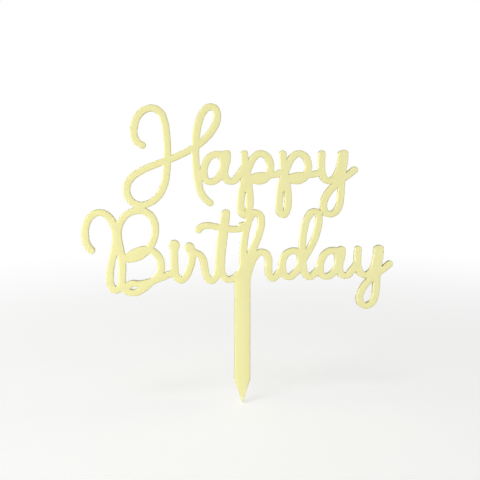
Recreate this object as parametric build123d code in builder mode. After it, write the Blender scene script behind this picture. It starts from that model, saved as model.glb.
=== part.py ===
from build123d import *
from math import sqrt
import os

os.makedirs("parts", exist_ok=True)

# Sheet and pen
sheet_thickness = 3.0
stem_width = 3.6  # across an upright stroke
hairline_width = 3.1  # across a level stroke

# Type lines, from a baseline to the middle of a stroke
x_height = 12.8
ascender_height = 31.4
descender_depth = 16.0  # of the upper row
tail_depth = 15.3  # of the lower row's y
tall_cap_height = 34.2  # the H
cap_height = 33.0  # the B
stake_rise = 11.5  # from the cake's surface to the lower baseline

# Letter widths
H_width = 41.4
a_width = 18.8
p_width = 18.4
y_width = 16.5
B_width = 34.7
i_width = 5.0
r_width = 14.1
t_width = 13.5
h_width = 19.0
d_width = 19.0
B_exit = 6.0  # from the B's bowl to the i
p_exit = 0.5  # extra run from the second p to the y

# Stake
stake_width = 7.7
stake_depth = 50.0  # below the cake's surface
stake_tip = 12.0
stake_head = 1.0  # how far the stake stands over the lower baseline
stake_shift = 0.4  # from the stake's middle to the stem of the h

# How the pieces lie against each other
row_shift = 0.5  # from the stem of the h to the stem of the first p
row_weld = 1.2  # overlap of the upper row's feet and the lower row's crowns
foot_reach = 5.0  # from the foot of the p to the crown of the h
loop_reach = 5.3  # from the crown of the d to the foot of the y
cap_weld_share = 0.84  # spacing of the two capitals, of a hairline
bowl_weld_share = 0.98  # spacing of the H's stem and the first a, of a stem

# Pen rules
bulb_share = 0.73  # radius of the i's round head, of a stem
knob_share = 0.66  # radius of the r's round head, of a stem
inner_share = 0.9  # the inner edge of a tight turn stays this share of its radius from the middle
filler_share = 0.985  # radius of the disc that rounds a tight turn's inside, of the pen's reach
straight_share = 0.0001  # a bend flatter than this is drawn straight
easy_share = 0.9  # a span whose ways agree less than this is drawn as two
turn_share = 0.3  # a run ends where its way agrees less than this with its first way

# Strokes: across in letter widths, up from the baseline (0) to the x-height (1) and the top (2), down to -1
H_shares = [
    (0.176, 1.18), (0.120, 1.25), (0.084, 1.39), (0.088, 1.58), (0.133, 1.80), (0.213, 1.93), (0.297, 1.96),
    (0.370, 1.88), (0.415, 1.69), (0.437, 1.40), (0.445, 1.04), (0.436, 0.46), (0.407, -0.12), (0.337, -0.63),
    (0.233, -0.93), (0.131, -1.00), (0.045, -0.84), (-0.005, -0.50), (-0.004, -0.17), (0.046, 0.14),
    (0.149, 0.38), (0.348, 0.66), (0.548, 0.90), (0.704, 1.09), (0.840, 1.27), (0.939, 1.48), (0.995, 1.69),
    (1.000, 1.86), (0.969, 1.98), (0.916, 2.00), (0.852, 1.905), (0.803, 1.71), (0.769, 1.43), (0.756, 1.08),
    (0.763, 0.49), (0.785, -0.05), (0.830, -0.58), (0.918, -0.94),
]
a_bowl_shares = [
    (0.48, 0.93), (0.31, 0.99), (0.135, 0.88), (0.015, 0.61), (-0.015, 0.29), (0.05, 0.045), (0.18, -0.01),
    (0.32, 0.09), (0.43, 0.33), (0.472, 0.62), (0.44, 0.86), (0.34, 0.98),
]
a_head_shares = [(0.515, 0.98), (0.515, 0.75), (0.49, 0.50)]
a_stem_shares = [
    (0.562, 1.00), (0.555, 0.74), (0.51, 0.46), (0.51, 0.21), (0.598, 0.02), (0.72, 0.01), (0.84, 0.19),
    (1.0, 0.53),
]
p_shares = [
    (0.0, 0.99), (0.01, 0.61), (0.053, 0.21), (0.118, -0.16), (0.148, -0.50), (0.139, -0.79), (0.105, -0.93),
    (0.035, -1.00), (-0.043, -0.94), (-0.08, -0.79), (-0.083, -0.50), (-0.044, -0.17), (0.041, 0.21),
    (0.139, 0.60), (0.258, 0.88), (0.418, 1.01), (0.575, 0.92), (0.663, 0.67), (0.664, 0.37), (0.558, 0.10),
    (0.376, 0.00), (0.207, 0.07),
]
p_exit_shares = [(0.17, 0.11), (0.365, 0.20), (0.624, 0.22), (0.833, 0.25), (1.0, 0.35)]
y_cup_shares = [
    (0.0, 1.00), (-0.012, 0.64), (0.016, 0.30), (0.108, 0.07), (0.245, 0.00), (0.395, 0.10), (0.508, 0.36),
    (0.565, 0.68), (0.59, 0.99),
]
y_head_shares = [(0.637, 1.01), (0.62, 0.80), (0.592, 0.55)]
y_tail_shares = [
    (0.682, 1.01), (0.666, 0.66), (0.62, 0.29), (0.597, -0.10), (0.587, -0.42), (0.545, -0.74),
    (0.422, -0.95), (0.262, -1.00), (0.115, -0.90), (0.07, -0.71), (0.155, -0.45), (0.35, -0.19),
    (0.595, 0.03), (0.84, 0.255), (0.99, 0.41),
]
B_stem_shares = [
    (0.084, 1.11), (0.030, 1.23), (0.003, 1.43), (0.016, 1.67), (0.073, 1.86), (0.161, 1.96), (0.251, 1.95),
    (0.334, 1.83), (0.388, 1.64), (0.404, 1.40), (0.383, 1.13), (0.340, 0.73), (0.313, 0.26), (0.324, -0.09),
    (0.385, -0.24), (0.452, -0.11), (0.475, 0.25), (0.478, 0.72), (0.455, 1.14), (0.430, 1.39), (0.445, 1.65),
    (0.510, 1.85), (0.609, 1.97), (0.721, 2.00), (0.832, 1.94), (0.903, 1.77), (0.922, 1.55), (0.890, 1.30),
    (0.811, 1.08), (0.703, 0.90), (0.560, 0.82),
]
B_waist_shares = [(0.60, 0.90), (0.70, 0.98), (0.80, 1.06)]
B_bowl_shares = [
    (0.545, 0.89), (0.638, 1.04), (0.738, 1.10), (0.838, 1.10), (0.930, 1.00), (0.986, 0.74), (0.991, 0.43),
    (0.943, 0.16), (0.850, -0.05), (0.745, -0.235), (0.632, -0.335), (0.513, -0.245),
]
B_exit_shares = [(0.52, -0.19), (0.592, -0.065), (0.715, -0.075), (0.837, -0.025), (0.978, 0.10)]
B_join_share = 0.31
i_shares = [(0.0, 1.20), (-0.01, 0.86), (0.02, 0.46), (0.16, 0.16), (0.55, 0.00)]
r_entry_shares = [(0.0, 0.11), (0.132, 0.39), (0.215, 0.70), (0.224, 0.96), (0.15, 1.14)]
r_leg_shares = [
    (0.155, 1.13), (0.304, 1.02), (0.487, 0.93), (0.603, 0.73), (0.646, 0.47), (0.715, 0.15), (0.869, -0.04),
]
t_rise_shares = [(0.0, 0.05), (0.092, 0.30), (0.135, 0.75), (0.18, 1.25), (0.262, 1.67), (0.35, 1.98)]
t_fall_shares = [
    (0.40, 2.00), (0.345, 1.59), (0.276, 1.19), (0.225, 0.71), (0.234, 0.28), (0.34, 0.05), (0.51, -0.02),
    (0.707, 0.05), (1.0, 0.44),
]
t_bar_shares = [
    (-0.570, 1.59), (-0.44, 1.665), (-0.234, 1.69), (0.046, 1.655), (0.397, 1.61), (0.70, 1.585),
    (0.89, 1.605), (1.05, 1.68),
]
t_tick_shares = [(0.93, 1.68), (1.01, 1.685), (1.10, 1.69)]
h_loop_shares = [
    (0.046, 0.46), (0.155, 0.84), (0.282, 1.15), (0.39, 1.44), (0.455, 1.76), (0.417, 1.94), (0.31, 2.00),
    (0.191, 1.90), (0.096, 1.66), (0.03, 1.34), (0.0, 0.99), (-0.004, 0.43), (0.0, 0.00),
]
h_arch_shares = [
    (0.108, 0.09), (0.183, 0.47), (0.29, 0.80), (0.43, 0.97), (0.568, 0.94), (0.641, 0.73), (0.642, 0.37),
    (0.671, 0.10), (0.757, -0.02), (0.85, 0.07), (1.0, 0.41),
]
d_shares = [
    (0.46, 0.92), (0.278, 1.00), (0.112, 0.90), (0.01, 0.64), (0.003, 0.31), (0.08, 0.06), (0.185, 0.01),
    (0.33, 0.15), (0.472, 0.45), (0.605, 0.81), (0.754, 1.13), (0.871, 1.42), (0.932, 1.73), (0.934, 1.91),
    (0.882, 2.00), (0.77, 2.00), (0.657, 1.87), (0.56, 1.59), (0.517, 1.27), (0.508, 0.91), (0.529, 0.47),
    (0.595, 0.13), (0.71, -0.01), (0.82, 0.08), (0.98, 0.40),
]
d_bowl_shares = [(0.43, 0.35), (0.484, 0.62), (0.45, 0.87), (0.34, 0.99)]
h_crown_share = 0.31
d_crown_share = 0.934
B_crown_share = 0.721
p_foot_share = 0.035
y_foot_share = 0.262
H_loop_share = 0.131
H_stem_share = 0.771

# Rows: the upper one stands so high that its feet meet the lower one's crowns
lower_base = stake_rise
line_pitch = ascender_height + descender_depth - row_weld
upper_base = lower_base + line_pitch
H_drop = line_pitch - cap_height - cap_weld_share * hairline_width

# Lower row, set out both ways from the h
h_x = stake_shift
d_x = h_x + h_width
birthday_a_x = d_x + d_width
birthday_y_x = birthday_a_x + a_width
t_x = h_x - t_width
r_x = t_x - r_width
i_x = r_x - i_width
B_x = i_x - B_exit - B_width

# Upper row, set out both ways from the first p, which stands near the h below it
p1_x = h_x + row_shift
p2_x = p1_x + p_width
happy_y_x = p2_x + p_width + p_exit
happy_a_x = p1_x - a_width
H_x = happy_a_x - bowl_weld_share * stem_width - H_stem_share * H_width

# How far each foot leans to meet the crown below it
p_lean = h_x + h_crown_share * h_width - foot_reach - (p1_x + p_foot_share * p_width)
y_lean = d_x + d_crown_share * d_width + loop_reach - (happy_y_x + y_foot_share * y_width)
H_lean = B_x + B_crown_share * B_width - (H_x + H_loop_share * H_width)


def placed(shares, x, width, baseline, top=ascender_height, drop=descender_depth, lean=0):
    """Points of a stroke on the sheet."""
    points = []
    for across, up in shares:
        if up < 0:
            height = up * drop
        elif up <= 1:
            height = up * x_height
        else:
            height = x_height + (up - 1) * (top - x_height)
        sway = lean * max(-up, 0)
        points.append(Vector(x + across * width + sway, baseline + height))
    return points


def passing(before, here, after):
    """Way of the pen at a point, on the circle through it and its neighbours."""
    coming, going = here - before, after - here
    return (coming / coming.length**2 + going / going.length**2).normalized()


def headings(points, came_from=None, goes_to=None):
    """Way of the pen at each point of a stroke that may come from or go on to another."""
    ways = [passing(*three) for three in zip(points, points[1:], points[2:])]
    first = (points[1] - points[0]).normalized()
    last = (points[-1] - points[-2]).normalized()
    start = passing(came_from, *points[:2]) if came_from else first * 2 * first.dot(ways[0]) - ways[0]
    end = passing(*points[-2:], goes_to) if goes_to else last * 2 * last.dot(ways[-1]) - ways[-1]
    return [start, *ways, end]


def meeting(start, start_way, end, end_way):
    """Point and way where the two arcs of a bend meet."""
    chord = end - start
    along = chord.dot(start_way + end_way)
    spread = 2 * (1 - start_way.dot(end_way))
    if spread < straight_share:
        reach = chord.dot(chord) / (2 * along)
    else:
        reach = (sqrt(along**2 + spread * chord.dot(chord)) - along) / spread
    before = start + start_way * reach
    after = end - end_way * reach
    return (before + after) / 2, (after - before).normalized()


def eased(points, ways):
    """The same stroke with a point more in each span that turns sharply."""
    easy_points, easy_ways = points[:1], ways[:1]
    for index in range(1, len(points)):
        if ways[index - 1].dot(ways[index]) < easy_share:
            middle, way = meeting(points[index - 1], ways[index - 1], points[index], ways[index])
            easy_points.append(middle)
            easy_ways.append(way)
        easy_points.append(points[index])
        easy_ways.append(ways[index])
    return easy_points, easy_ways


def half_widths(points, ways):
    """Reach of the pen to its left and right, held back on the inside of a tight turn."""
    lefts = [sqrt((stem_width * way.Y) ** 2 + (hairline_width * way.X) ** 2) / 2 for way in ways]
    rights = list(lefts)
    for index in range(len(points) - 1):
        middle, _ = meeting(points[index], ways[index], points[index + 1], ways[index + 1])
        for end in (index, index + 1):
            chord = middle - points[end]
            turn = 2 * ways[end].cross(chord).Z / chord.length**2
            if turn > 0:
                lefts[end] = min(lefts[end], inner_share / turn)
            elif turn < 0:
                rights[end] = min(rights[end], -inner_share / turn)
    return lefts, rights


def arc(start, end, way):
    """Arc that leaves the start along the way given."""
    if abs(way.cross((end - start).normalized()).Z) < straight_share:
        Line(start, end)
    else:
        TangentArc(start, end, tangent=way)


def bend(start, start_way, end, end_way):
    """Two arcs from start to end that keep the ways given there."""
    middle, way = meeting(start, start_way, end, end_way)
    arc(start, middle, start_way)
    arc(middle, end, way)


def disc(center, radius):
    with BuildSketch() as head:
        with Locations(center):
            Circle(radius)
    return [head.sketch.face()]


def stroke(points, start_round=True, end_round=True, came_from=None, goes_to=None):
    """Faces of one pen stroke, a face for each run that does not turn back and one for each round end."""
    points, ways = eased(points, headings(points, came_from, goes_to))
    lefts, rights, faces = [], [], []
    for point, way, left, right in zip(points, ways, *half_widths(points, ways)):
        across = Vector(-way.Y, way.X)
        lefts.append(point + across * left)
        rights.append(point - across * right)
        if left != right and point not in (points[0], points[-1]):
            faces += disc(point, filler_share * max(left, right))
    breaks = [0]
    for index in range(1, len(points) - 1):
        if ways[breaks[-1]].dot(ways[index + 1]) < turn_share:
            breaks.append(index)
    breaks.append(len(points) - 1)
    for first, last in zip(breaks, breaks[1:]):
        with BuildSketch() as run:
            with BuildLine():
                for index in range(first, last):
                    bend(lefts[index], ways[index], lefts[index + 1], ways[index + 1])
                Line(lefts[last], rights[last])
                for index in range(last, first, -1):
                    bend(rights[index], ways[index] * -1, rights[index - 1], ways[index - 1] * -1)
                Line(rights[first], lefts[first])
            make_face()
        faces.append(run.sketch.face())
    for wanted, end, outward in ((start_round, 0, -1), (end_round, -1, 1)):
        if wanted:
            tip = points[end] + ways[end] * outward * (lefts[end] - rights[end]).length / 2
            with BuildSketch() as cap:
                with BuildLine():
                    ThreePointArc(lefts[end], tip, rights[end])
                    Line(rights[end], lefts[end])
                make_face()
            faces.append(cap.sketch.face())
    return faces


def outline(*strokes):
    """All strokes of a letter as one outline."""
    with BuildSketch() as letter:
        for faces in strokes:
            for face in faces:
                add(face)
    return letter.sketch


def letter_a(x, baseline):
    bowl = placed(a_bowl_shares, x, a_width, baseline)
    head = placed(a_head_shares, x, a_width, baseline)
    stem = placed(a_stem_shares, x, a_width, baseline)
    return outline(stroke(bowl), stroke(head), stroke(stem, end_round=False))


def letter_p(x, run):
    body = placed(p_shares, x, p_width, upper_base, lean=p_lean)
    leave = placed(p_exit_shares, x, p_width, upper_base)
    leave[-1] = leave[-1] + Vector(run, 0)
    return outline(stroke(body), stroke(leave, end_round=False))


def letter_y(x, baseline, depth, lean=0):
    cup = placed(y_cup_shares, x, y_width, baseline)
    head = placed(y_head_shares, x, y_width, baseline)
    tail = placed(y_tail_shares, x, y_width, baseline, drop=depth, lean=lean)
    return outline(stroke(cup), stroke(head), stroke(tail))


# Outlines of the letters, before they are fitted to each other
H_outline = outline(stroke(placed(H_shares, H_x, H_width, upper_base, tall_cap_height, H_drop, H_lean)))
happy_a_outline = letter_a(happy_a_x, upper_base)
p1_outline = letter_p(p1_x, 0)
p2_outline = letter_p(p2_x, p_exit)
happy_y_outline = letter_y(happy_y_x, upper_base, descender_depth, y_lean)

B_leave = placed(B_exit_shares, B_x, B_width, lower_base)
B_leave.append(Vector(i_x, lower_base + B_join_share * x_height))
B_outline = outline(
    stroke(placed(B_stem_shares, B_x, B_width, lower_base, cap_height)),
    stroke(placed(B_waist_shares, B_x, B_width, lower_base, cap_height)),
    stroke(placed(B_bowl_shares, B_x, B_width, lower_base, cap_height)),
    stroke(B_leave, start_round=False, end_round=False),
)

r_entry = placed(r_entry_shares, r_x, r_width, lower_base)
r_leg = placed(r_leg_shares, r_x, r_width, lower_base)
t_rise = placed(t_rise_shares, t_x, t_width, lower_base)
i_stem = placed(i_shares, i_x, i_width, lower_base)
i_outline = outline(
    disc(i_stem[0], bulb_share * stem_width),
    stroke([*i_stem, r_entry[0]], end_round=False, goes_to=r_entry[1]),
)
r_outline = outline(
    stroke(r_entry, start_round=False, came_from=i_stem[-1]),
    disc(r_entry[-1], knob_share * stem_width),
    stroke([*r_leg, t_rise[0]], end_round=False, goes_to=t_rise[1]),
)
t_outline = outline(
    stroke(t_rise, start_round=False, came_from=r_leg[-1]),
    stroke(placed(t_fall_shares, t_x, t_width, lower_base), end_round=False),
    stroke(placed(t_bar_shares, t_x, t_width, lower_base)),
    stroke(placed(t_tick_shares, t_x, t_width, lower_base)),
)
h_outline = outline(
    stroke(placed(h_loop_shares, h_x, h_width, lower_base), end_round=False),
    stroke(placed(h_arch_shares, h_x, h_width, lower_base), end_round=False),
)
d_outline = outline(
    stroke(placed(d_shares, d_x, d_width, lower_base), end_round=False),
    stroke(placed(d_bowl_shares, d_x, d_width, lower_base)),
)
birthday_a_outline = letter_a(birthday_a_x, lower_base)
birthday_y_outline = letter_y(birthday_y_x, lower_base, tail_depth)

with BuildSketch() as stake_outline:
    with BuildLine():
        Polyline(
            (-stake_width / 2, lower_base + stake_head),
            (stake_width / 2, lower_base + stake_head),
            (stake_width / 2, stake_tip - stake_depth),
            (0, -stake_depth),
            (-stake_width / 2, stake_tip - stake_depth),
            close=True,
        )
    make_face()


# Each piece is its outline less the neighbours that it butts against
with BuildPart() as happy_H:
    with BuildSketch(Plane.XZ):
        add(H_outline)
    extrude(amount=sheet_thickness / 2, both=True)
happy_H.part.label = "happy_H"
export_step(happy_H.part, "parts/happy_H.step")

with BuildPart() as happy_a:
    with BuildSketch(Plane.XZ):
        add(happy_a_outline)
        add(H_outline, mode=Mode.SUBTRACT)
        add(p1_outline, mode=Mode.SUBTRACT)
    extrude(amount=sheet_thickness / 2, both=True)
happy_a.part.label = "happy_a"
export_step(happy_a.part, "parts/happy_a.step")

with BuildPart() as happy_p1:
    with BuildSketch(Plane.XZ):
        add(p1_outline)
        add(p2_outline, mode=Mode.SUBTRACT)
    extrude(amount=sheet_thickness / 2, both=True)
happy_p1.part.label = "happy_p1"
export_step(happy_p1.part, "parts/happy_p1.step")

with BuildPart() as happy_p2:
    with BuildSketch(Plane.XZ):
        add(p2_outline)
        add(happy_y_outline, mode=Mode.SUBTRACT)
    extrude(amount=sheet_thickness / 2, both=True)
happy_p2.part.label = "happy_p2"
export_step(happy_p2.part, "parts/happy_p2.step")

with BuildPart() as happy_y:
    with BuildSketch(Plane.XZ):
        add(happy_y_outline)
    extrude(amount=sheet_thickness / 2, both=True)
happy_y.part.label = "happy_y"
export_step(happy_y.part, "parts/happy_y.step")

with BuildPart() as birthday_B:
    with BuildSketch(Plane.XZ):
        add(B_outline)
        add(H_outline, mode=Mode.SUBTRACT)
        add(i_outline, mode=Mode.SUBTRACT)
    extrude(amount=sheet_thickness / 2, both=True)
birthday_B.part.label = "birthday_B"
export_step(birthday_B.part, "parts/birthday_B.step")

with BuildPart() as birthday_i:
    with BuildSketch(Plane.XZ):
        add(i_outline)
        add(r_outline, mode=Mode.SUBTRACT)
    extrude(amount=sheet_thickness / 2, both=True)
birthday_i.part.label = "birthday_i"
export_step(birthday_i.part, "parts/birthday_i.step")

with BuildPart() as birthday_r:
    with BuildSketch(Plane.XZ):
        add(r_outline)
        add(t_outline, mode=Mode.SUBTRACT)
    extrude(amount=sheet_thickness / 2, both=True)
birthday_r.part.label = "birthday_r"
export_step(birthday_r.part, "parts/birthday_r.step")

with BuildPart() as birthday_t:
    with BuildSketch(Plane.XZ):
        add(t_outline)
        add(h_outline, mode=Mode.SUBTRACT)
        add(stake_outline.sketch, mode=Mode.SUBTRACT)
    extrude(amount=sheet_thickness / 2, both=True)
birthday_t.part.label = "birthday_t"
export_step(birthday_t.part, "parts/birthday_t.step")

with BuildPart() as birthday_h:
    with BuildSketch(Plane.XZ):
        add(h_outline)
        add(p1_outline, mode=Mode.SUBTRACT)
        add(d_outline, mode=Mode.SUBTRACT)
        add(stake_outline.sketch, mode=Mode.SUBTRACT)
    extrude(amount=sheet_thickness / 2, both=True)
birthday_h.part.label = "birthday_h"
export_step(birthday_h.part, "parts/birthday_h.step")

with BuildPart() as birthday_d:
    with BuildSketch(Plane.XZ):
        add(d_outline)
        add(happy_y_outline, mode=Mode.SUBTRACT)
        add(birthday_a_outline, mode=Mode.SUBTRACT)
    extrude(amount=sheet_thickness / 2, both=True)
birthday_d.part.label = "birthday_d"
export_step(birthday_d.part, "parts/birthday_d.step")

with BuildPart() as birthday_a:
    with BuildSketch(Plane.XZ):
        add(birthday_a_outline)
        add(birthday_y_outline, mode=Mode.SUBTRACT)
    extrude(amount=sheet_thickness / 2, both=True)
birthday_a.part.label = "birthday_a"
export_step(birthday_a.part, "parts/birthday_a.step")

with BuildPart() as birthday_y:
    with BuildSketch(Plane.XZ):
        add(birthday_y_outline)
    extrude(amount=sheet_thickness / 2, both=True)
birthday_y.part.label = "birthday_y"
export_step(birthday_y.part, "parts/birthday_y.step")

with BuildPart() as stake:
    with BuildSketch(Plane.XZ):
        add(stake_outline.sketch)
    extrude(amount=sheet_thickness / 2, both=True)
stake.part.label = "stake"
export_step(stake.part, "parts/stake.step")
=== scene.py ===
import math
from collections import Counter

import bmesh
import bpy
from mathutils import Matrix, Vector
from mathutils.geometry import delaunay_2d_cdt


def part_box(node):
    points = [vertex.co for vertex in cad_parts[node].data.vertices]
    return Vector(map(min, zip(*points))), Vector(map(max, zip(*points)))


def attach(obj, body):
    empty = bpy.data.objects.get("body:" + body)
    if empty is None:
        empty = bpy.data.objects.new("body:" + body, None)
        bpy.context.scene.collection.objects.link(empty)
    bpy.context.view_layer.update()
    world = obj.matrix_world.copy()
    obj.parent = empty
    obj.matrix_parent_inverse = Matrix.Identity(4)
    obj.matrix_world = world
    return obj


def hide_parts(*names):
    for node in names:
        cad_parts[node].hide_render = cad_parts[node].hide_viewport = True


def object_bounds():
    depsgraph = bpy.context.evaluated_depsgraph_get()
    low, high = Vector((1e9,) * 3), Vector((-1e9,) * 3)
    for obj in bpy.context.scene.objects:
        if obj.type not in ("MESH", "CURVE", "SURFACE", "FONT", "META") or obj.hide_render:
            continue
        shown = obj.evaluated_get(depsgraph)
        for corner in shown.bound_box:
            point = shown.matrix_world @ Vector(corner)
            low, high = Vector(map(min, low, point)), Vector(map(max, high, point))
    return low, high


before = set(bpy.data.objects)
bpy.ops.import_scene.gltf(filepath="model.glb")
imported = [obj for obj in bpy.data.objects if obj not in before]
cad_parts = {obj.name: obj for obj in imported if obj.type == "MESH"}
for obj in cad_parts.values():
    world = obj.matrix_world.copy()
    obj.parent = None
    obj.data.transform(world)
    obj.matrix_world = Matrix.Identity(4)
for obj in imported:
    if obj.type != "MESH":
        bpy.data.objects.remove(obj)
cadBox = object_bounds()
print("frame loaded:", len(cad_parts), "pieces of sheet")


def linear(red, green, blue):  # screen colour, 0 to 255, as the shader wants it
    def channel(value):
        share = value / 255
        return share / 12.92 if share <= 0.04045 else ((share + 0.055) / 1.055) ** 2.4
    return channel(red), channel(green), channel(blue), 1.0


def addNode(tree, kind, **settings):  # a node with its properties, then its inputs by name or number
    node = tree.nodes.new(kind)
    inputs = settings.pop("inputs", {})
    for key, value in settings.items():
        setattr(node, key, value)
    for key, value in inputs.items():
        if hasattr(value, "is_output"):
            tree.links.new(value, node.inputs[key])
        else:
            node.inputs[key].default_value = value
    return node


# acrylic: a pale yellow face, and a rougher cut edge with fine lines across the sheet, coloured darker as
# painted shade
acrylicLook = {
    "face": (243, 237, 165),
    "faceLight": (247, 242, 181),
    # edge colours: painted shade, darker than the face for the shade on the cut walls; the two tones vary
    # along the cut lines
    "edge": (190, 186, 140),
    "edgeDark": (170, 166, 124),
    "cloudScale": 34.0,        # clouds in the colour, per metre
    "cloudDetail": 3.0,
    "lineScale": 2600.0,       # cut lines, per metre of edge
    "lineDetail": 2.0,
    "lineStretch": 0.04,       # the smaller, the longer the lines run across the sheet
    "lineStrength": 0.25,
    "lineHeight": 0.0002,
    "rippleScale": 55.0,       # slow waves of the sheet's skin
    "rippleDetail": 1.0,
    "rippleStrength": 0.06,
    "rippleHeight": 0.001,
    "hazeScale": 90.0,         # cloudy gloss of the skin
    "hazeDetail": 2.0,
    "roughness": (0.34, 0.44),
    "edgeRoughness": 0.55,
    "refraction": 1.49,
}


def acrylicMaterial(look):
    material = bpy.data.materials.new("paleAcrylic")
    material.use_nodes = True
    tree = material.node_tree
    shader = tree.nodes["Principled BSDF"]
    place = addNode(tree, "ShaderNodeTexCoord").outputs["Object"]
    onEdge = addNode(tree, "ShaderNodeAttribute", attribute_name="cutEdge").outputs["Fac"]

    clouds = addNode(tree, "ShaderNodeTexNoise", inputs={
        "Vector": place, "Scale": look["cloudScale"], "Detail": look["cloudDetail"]}).outputs["Fac"]
    faceTone = addNode(tree, "ShaderNodeMix", data_type="RGBA", inputs={
        0: clouds, 6: linear(*look["face"]), 7: linear(*look["faceLight"])}).outputs[2]

    across = addNode(tree, "ShaderNodeMapping", inputs={
        "Vector": place, "Scale": (1.0, look["lineStretch"], 1.0)}).outputs["Vector"]
    lines = addNode(tree, "ShaderNodeTexNoise", inputs={
        "Vector": across, "Scale": look["lineScale"], "Detail": look["lineDetail"]}).outputs["Fac"]
    # painted shade: the cut walls take these darker tones in place of the face colour
    paintedShadeEdgeTone = addNode(tree, "ShaderNodeMix", data_type="RGBA", inputs={
        0: lines, 6: linear(*look["edgeDark"]), 7: linear(*look["edge"])}).outputs[2]
    tone = addNode(tree, "ShaderNodeMix", data_type="RGBA", inputs={
        0: onEdge, 6: faceTone, 7: paintedShadeEdgeTone}).outputs[2]
    tree.links.new(tone, shader.inputs["Base Color"])

    haze = addNode(tree, "ShaderNodeTexNoise", inputs={
        "Vector": place, "Scale": look["hazeScale"], "Detail": look["hazeDetail"]}).outputs["Fac"]
    low, high = look["roughness"]
    faceGloss = addNode(tree, "ShaderNodeMapRange", inputs={
        "Value": haze, "To Min": low, "To Max": high}).outputs["Result"]
    gloss = addNode(tree, "ShaderNodeMix", data_type="FLOAT", inputs={
        0: onEdge, 2: faceGloss, 3: look["edgeRoughness"]}).outputs[0]
    tree.links.new(gloss, shader.inputs["Roughness"])

    ripple = addNode(tree, "ShaderNodeTexNoise", inputs={
        "Vector": place, "Scale": look["rippleScale"], "Detail": look["rippleDetail"]}).outputs["Fac"]
    skin = addNode(tree, "ShaderNodeBump", inputs={
        "Height": ripple, "Strength": look["rippleStrength"],
        "Distance": look["rippleHeight"]}).outputs["Normal"]
    edgeLines = addNode(tree, "ShaderNodeMath", operation="MULTIPLY", inputs={
        0: lines, 1: onEdge}).outputs[0]
    bumped = addNode(tree, "ShaderNodeBump", inputs={
        "Height": edgeLines, "Strength": look["lineStrength"],
        "Distance": look["lineHeight"], "Normal": skin}).outputs["Normal"]
    tree.links.new(bumped, shader.inputs["Normal"])

    shader.inputs["IOR"].default_value = look["refraction"]
    return material


paleAcrylic = acrylicMaterial(acrylicLook)
print("acrylic mixed")


# the cut: one outline for the whole greeting, read from the pieces' front faces
cut = {
    "edgeRadius": 0.0007,      # the cut edges are slightly rounded
    "edgeSteps": 5,
    "flat": 0.95,              # a front face looks this straight to the front
    "weld": 1e-6,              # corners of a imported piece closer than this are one
    "merge": 1e-7,             # corners of a cut piece closer than this are one
    "least": 1e-6,             # keeps a division clear of zero
    "meet": 4e-6,              # seams closer than this are one
    "sliver": 4e-8,            # square metres, a gap with less area is part of a seam
    "speck": 1e-11,            # square metres, a triangle with less than half of this may turn over
    "mitre": 2.0,              # longest inset at a sharp corner, in edge radii
    "crease": 40.0,            # degrees, a sharper corner stays sharp
    "easeRounds": 15,
    "easeShare": 0.8,          # an inset keeps this share of its length in each round
}


def frontLoops(name):  # outline and holes of a piece's front face, as points (x, z)
    mesh = bmesh.new()
    mesh.from_mesh(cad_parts[name].data)
    bmesh.ops.remove_doubles(mesh, verts=mesh.verts[:], dist=cut["weld"])
    mesh.normal_update()
    front = [face for face in mesh.faces if face.normal.y < -cut["flat"]]
    onFront = set(front)
    following = {}
    for face in front:  # a list, because a set's order changes from run to run
        for corner in face.loops:
            if not any(other in onFront for other in corner.edge.link_faces if other != face):
                following.setdefault(corner.vert, []).append(corner.link_loop_next.vert)
    loops = []
    while following:
        start = next(iter(following))
        loop, vert = [], start
        while vert in following:
            loop.append(Vector((vert.co.x, vert.co.z)))
            onward = following[vert].pop()
            if not following[vert]:
                del following[vert]
            vert = onward
        area = sum(a.cross(b) for a, b in zip(loop, loop[1:] + loop[:1]))
        loops.append(loop if area > 0 else loop[::-1])
    mesh.free()
    return loops


def cutPlan(names):  # triangles of the whole sheet, and the piece that each belongs to
    points, loops, loopPiece = [], [], []
    for name in names:
        for loop in frontLoops(name):
            loops.append(list(range(len(points), len(points) + len(loop))))
            loopPiece.append(name)
            points += loop
    spots, _, triangles, _, _, within = delaunay_2d_cdt(points, [], loops, 0, cut["meet"], True)
    pieces = []
    for inside in within:
        counts = Counter(loopPiece[loop] for loop in inside)
        held = [name for name in names if counts[name] % 2]
        pieces.append(held[0] if held else None)
    return spots, triangles, pieces


def closeSeams(spots, triangles, pieces):  # gives a sliver between two pieces to one of them
    beside = {}
    for index, triangle in enumerate(triangles):
        for a, b in zip(triangle, triangle[1:] + triangle[:1]):
            beside[a, b] = index
    seen, closed = set(), 0
    for first, piece in enumerate(pieces):
        if piece or first in seen:
            continue
        group, queue, area, neighbours = [], [first], 0.0, Counter()
        seen.add(first)
        while queue:
            index = queue.pop()
            group.append(index)
            triangle = triangles[index]
            a, b, c = (spots[spot] for spot in triangle)
            area += (b - a).cross(c - a) / 2
            for start, end in zip(triangle, triangle[1:] + triangle[:1]):
                other = beside.get((end, start))
                if other is None:
                    area = math.inf      # open to the outside
                elif pieces[other]:
                    neighbours[pieces[other]] += 1
                elif other not in seen:
                    seen.add(other)
                    queue.append(other)
        if area < cut["sliver"]:
            closed += 1
            for index in group:
                pieces[index] = neighbours.most_common(1)[0][0]
    return closed


def insets(spots, triangles, pieces):  # way from each point of the outline into the sheet, in edge radii
    held = {}
    for triangle, piece in zip(triangles, pieces):
        if piece:
            for a, b in zip(triangle, triangle[1:] + triangle[:1]):
                held[a, b] = piece
    arriving, leaving = {}, {}
    for a, b in held:
        if (b, a) not in held:
            along = (spots[b] - spots[a]).normalized()
            leaving[a] = arriving[b] = Vector((-along.y, along.x))
    ways = {}
    for spot, first in arriving.items():
        second = leaving[spot]
        middle = (first + second).normalized()
        longer = 1 / max(middle.dot(first), cut["least"]) if first.cross(second) > 0 else 1.0
        ways[spot] = middle * min(longer, cut["mitre"])
    return ways


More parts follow.
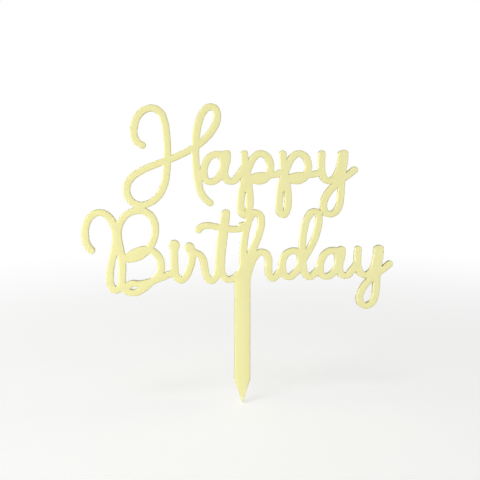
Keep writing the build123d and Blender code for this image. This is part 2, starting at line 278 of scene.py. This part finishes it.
def easeInsets(spots, triangles, pieces, ways):  # shortens an inset that would turn a triangle over
    still = Vector((0, 0))
    eased = set()
    for _ in range(cut["easeRounds"]):
        turned = set()
        for triangle, piece in zip(triangles, pieces):
            before = [spots[spot] for spot in triangle]
            after = [spots[spot] + ways.get(spot, still) * cut["edgeRadius"] for spot in triangle]
            areas = [(b - a).cross(c - a) for a, b, c in (before, after)]
            if piece and areas[0] > cut["speck"] and areas[1] <= 0:
                turned.update(triangle)
        eased |= turned
        for spot in turned & ways.keys():
            ways[spot] = ways[spot] * cut["easeShare"]
        if not turned:
            break
    return len(eased)


def sheetTree():  # thickens a flat piece and rounds its free edges
    tree = bpy.data.node_groups.new("cutSheet", "GeometryNodeTree")
    for label, kind in (("Geometry", "NodeSocketGeometry"), ("Thickness", "NodeSocketFloat"),
                        ("Edge Radius", "NodeSocketFloat"), ("Material", "NodeSocketMaterial")):
        tree.interface.new_socket(label, in_out="INPUT", socket_type=kind)
    tree.interface.new_socket("Geometry", in_out="OUTPUT", socket_type="NodeSocketGeometry")
    given = addNode(tree, "NodeGroupInput")
    thickness, radius = given.outputs["Thickness"], given.outputs["Edge Radius"]
    inward = addNode(tree, "GeometryNodeInputNamedAttribute", data_type="FLOAT_VECTOR",
                     inputs={"Name": "inward"}).outputs["Attribute"]

    def times(value, factor):
        return addNode(tree, "ShaderNodeMath", operation="MULTIPLY", inputs={0: value, 1: factor}).outputs[0]

    def move(insetShare, depth):  # into the sheet by a share of the radius, and back by a depth
        into = addNode(tree, "ShaderNodeVectorMath", operation="SCALE",
                       inputs={"Vector": inward, "Scale": times(radius, insetShare)}).outputs["Vector"]
        back = addNode(tree, "ShaderNodeCombineXYZ", inputs={"Y": depth}).outputs["Vector"]
        return addNode(tree, "ShaderNodeVectorMath", operation="ADD",
                       inputs={0: into, 1: back}).outputs["Vector"]

    front = addNode(tree, "GeometryNodeSetPosition", inputs={
        "Geometry": given.outputs["Geometry"],
        "Offset": move(1.0, times(thickness, -0.5))}).outputs["Geometry"]
    wall = addNode(tree, "ShaderNodeMath", operation="SUBTRACT",
                   inputs={0: thickness, 1: times(radius, 2.0)}).outputs[0]
    angles = [math.pi / 2 * step / cut["edgeSteps"] for step in range(cut["edgeSteps"] + 1)]
    rounding = [(math.sin(a) - math.sin(b), math.cos(a) - math.cos(b)) for a, b in zip(angles, angles[1:])]
    moves = [(move(inset, times(radius, depth)), 0.0) for inset, depth in rounding]
    moves.append((move(0.0, wall), 1.0))
    moves += [(move(-inset, times(radius, depth)), 0.0) for inset, depth in reversed(rounding)]

    body = addNode(tree, "GeometryNodeFlipFaces", inputs={"Mesh": front}).outputs["Mesh"]
    top = True
    for offset, onWall in moves:
        step = addNode(tree, "GeometryNodeExtrudeMesh", mode="FACES", inputs={
            "Mesh": body, "Selection": top, "Offset Scale": 0.0, "Individual": False})
        moved = addNode(tree, "GeometryNodeSetPosition", inputs={
            "Geometry": step.outputs["Mesh"], "Selection": step.outputs["Top"], "Offset": offset})
        marked = addNode(tree, "GeometryNodeStoreNamedAttribute", data_type="FLOAT", domain="FACE", inputs={
            "Geometry": moved.outputs["Geometry"], "Selection": step.outputs["Side"],
            "Name": "cutEdge", "Value": onWall})
        body, top = marked.outputs["Geometry"], step.outputs["Top"]
    joined = addNode(tree, "GeometryNodeJoinGeometry")
    tree.links.new(front, joined.inputs[0])
    tree.links.new(body, joined.inputs[0])
    whole = addNode(tree, "GeometryNodeMergeByDistance", inputs={
        "Geometry": joined.outputs[0], "Distance": cut["merge"]}).outputs["Geometry"]
    realized = addNode(tree, "GeometryNodeRealizeInstances", inputs={"Geometry": whole}).outputs["Geometry"]
    finished = addNode(tree, "GeometryNodeSetMaterial", inputs={
        "Geometry": realized, "Material": given.outputs["Material"]}).outputs["Geometry"]
    addNode(tree, "NodeGroupOutput", inputs={"Geometry": finished})
    return tree


def flatPiece(name, spots, triangles, ways):  # a piece's front as a flat mesh in the sheet's middle plane
    used = sorted({spot for triangle in triangles for spot in triangle})
    order = {spot: index for index, spot in enumerate(used)}
    mesh = bpy.data.meshes.new(name)
    mesh.from_pydata([(spots[spot].x, 0, spots[spot].y) for spot in used], [],
                     [[order[spot] for spot in triangle] for triangle in triangles])
    inward = mesh.attributes.new("inward", "FLOAT_VECTOR", "POINT")
    for spot, index in order.items():
        if spot in ways:
            inward.data[index].vector = (ways[spot].x, 0, ways[spot].y)
    piece = bpy.data.objects.new(name, mesh)
    bpy.context.scene.collection.objects.link(piece)
    return piece


def cutPiece(piece, tree, sizes):  # runs the tree on a flat piece and keeps the result as a plain mesh
    modifier = piece.modifiers.new("cutSheet", "NODES")
    modifier.node_group = tree
    for socket in tree.interface.items_tree:
        if socket.in_out == "INPUT" and socket.name in sizes:
            modifier[socket.identifier] = sizes[socket.name]
    graph = bpy.context.evaluated_depsgraph_get()
    mesh = bpy.data.meshes.new_from_object(piece.evaluated_get(graph))
    piece.modifiers.remove(modifier)
    piece.data = mesh
    mesh.set_sharp_from_angle(angle=math.radians(cut["crease"]))
    return piece


pieceNames = sorted(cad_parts)
spots, triangles, triangleNames = cutPlan(pieceNames)
closedSeams = closeSeams(spots, triangles, triangleNames)
ways = insets(spots, triangles, triangleNames)
easedSpots = easeInsets(spots, triangles, triangleNames, ways)
print("outline:", len(spots), "points,", closedSeams, "slivers closed,", easedSpots, "insets eased")

low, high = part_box("stake")
cutSheet = sheetTree()
sheetSizes = {"Thickness": high.y - low.y, "Edge Radius": cut["edgeRadius"], "Material": paleAcrylic}
for name in pieceNames:
    own = [triangle for triangle, owner in zip(triangles, triangleNames) if owner == name]
    piece = cutPiece(flatPiece(name + "_cut", spots, own, ways), cutSheet, sheetSizes)
    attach(piece, "root")
    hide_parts(name)
    print(piece.name, len(piece.data.polygons), "faces")


def seenShare(tree):  # 1 for what is looked at, straight or in a reflection, and 0 for what only lights
    path = addNode(tree, "ShaderNodeLightPath")
    total = path.outputs["Is Camera Ray"]
    for label in ("Is Glossy Ray", "Is Transmission Ray"):
        total = addNode(tree, "ShaderNodeMath", operation="ADD", use_clamp=True,
                        inputs={0: total, 1: path.outputs[label]}).outputs[0]
    return total


# floor: pale near the topper, fading to the white of the background
ground = {
    "radius": 6.0,
    "segments": 48,
    "colour": (0.86, 0.86, 0.85, 1.0),
    "roughness": 0.9,
    "glow": 0.5,               # seen straight or reflected, and casts no other light
    "fadeStart": 0.1,          # from here outwards it turns white
    "fadeEnd": 0.6,
}


def groundMaterial():
    material = bpy.data.materials.new("paleFloor")
    material.use_nodes = True
    tree = material.node_tree
    shader = tree.nodes["Principled BSDF"]
    shader.inputs["Base Color"].default_value = ground["colour"]
    shader.inputs["Roughness"].default_value = ground["roughness"]
    shader.inputs["Specular IOR Level"].default_value = 0.0
    seen = seenShare(tree)
    glow = addNode(tree, "ShaderNodeMath", operation="MULTIPLY",
                   inputs={0: seen, 1: ground["glow"]}).outputs[0]
    tree.links.new(glow, shader.inputs["Emission Strength"])
    shader.inputs["Emission Color"].default_value = (1, 1, 1, 1)
    place = addNode(tree, "ShaderNodeTexCoord").outputs["Object"]
    distance = addNode(tree, "ShaderNodeVectorMath", operation="LENGTH", inputs={0: place}).outputs["Value"]
    fade = addNode(tree, "ShaderNodeMapRange", interpolation_type="SMOOTHSTEP", inputs={
        "Value": distance, "From Min": ground["fadeStart"], "From Max": ground["fadeEnd"]}).outputs["Result"]
    white = addNode(tree, "ShaderNodeEmission", inputs={"Strength": seen}).outputs["Emission"]
    blend = addNode(tree, "ShaderNodeMixShader", inputs={0: fade, 1: shader.outputs["BSDF"], 2: white})
    tree.links.new(blend.outputs["Shader"], tree.nodes["Material Output"].inputs["Surface"])
    return material


floorMesh = bmesh.new()
bmesh.ops.create_circle(floorMesh, cap_ends=True, radius=ground["radius"], segments=ground["segments"])
floorData = bpy.data.meshes.new("floor")
floorMesh.to_mesh(floorData)
floorMesh.free()
floorData.materials.append(groundMaterial())
floor = bpy.data.objects.new("floor", floorData)
floor.location = (0, 0, cadBox[0][2])
bpy.context.scene.collection.objects.link(floor)
print("floor laid")


# light: low soft lamps round the topper, a weak high one for the shadow on the floor, and a dim room
lamps = {
    "key": {"place": (-0.66, -0.40, 0.05), "wide": 0.34, "high": 0.12, "power": 4.3},
    "fill": {"place": (1.05, -1.2, 0.05), "wide": 0.7, "high": 0.18, "power": 8.6},
    "back": {"place": (-0.45, 1.15, 0.05), "wide": 0.8, "high": 0.18, "power": 8.0},
    "top": {"place": (-0.35, -0.45, 1.1), "wide": 0.3, "high": 0.3, "power": 1.2},
}
room = {"light": 0.24, "background": 1.0}
lampAim = Vector((0, 0, 0.045))  # the middle of the lettering

for label, lamp in lamps.items():
    data = bpy.data.lights.new(label, "AREA")
    data.shape = "RECTANGLE"
    data.size, data.size_y = lamp["wide"], lamp["high"]
    data.energy = lamp["power"]
    light = bpy.data.objects.new(label, data)
    light.location = lamp["place"]
    light.visible_camera = False
    light.rotation_euler = (lampAim - Vector(lamp["place"])).to_track_quat("-Z", "Y").to_euler()
    bpy.context.scene.collection.objects.link(light)

world = bpy.data.worlds.new("room")
bpy.context.scene.world = world
world.use_nodes = True
worldTree = world.node_tree
backdrop = worldTree.nodes["Background"]
strength = addNode(worldTree, "ShaderNodeMapRange", inputs={
    "Value": seenShare(worldTree), "To Min": room["light"], "To Max": room["background"]})
backdrop.inputs["Color"].default_value = (1, 1, 1, 1)
worldTree.links.new(strength.outputs["Result"], backdrop.inputs["Strength"])
print("lamps set")


# camera: left of the lettering's middle and a little above it, turned to the right and down
view = {"place": (-0.0503, -0.3106, 0.0681), "down": 6.91, "turn": 9.0, "lens": 50.1,
        "sensor": 36.0, "near": 0.01}
camera = bpy.data.cameras.new("photoCamera")
camera.lens = view["lens"]
camera.sensor_width = view["sensor"]
camera.clip_start = view["near"]
cameraObject = bpy.data.objects.new("photoCamera", camera)
cameraObject.location = view["place"]
cameraObject.rotation_euler = (math.radians(90 - view["down"]), 0, math.radians(-view["turn"]))
bpy.context.scene.collection.objects.link(cameraObject)
bpy.context.scene.camera = cameraObject
bpy.context.scene.view_settings.view_transform = "Standard"
print("camera placed")
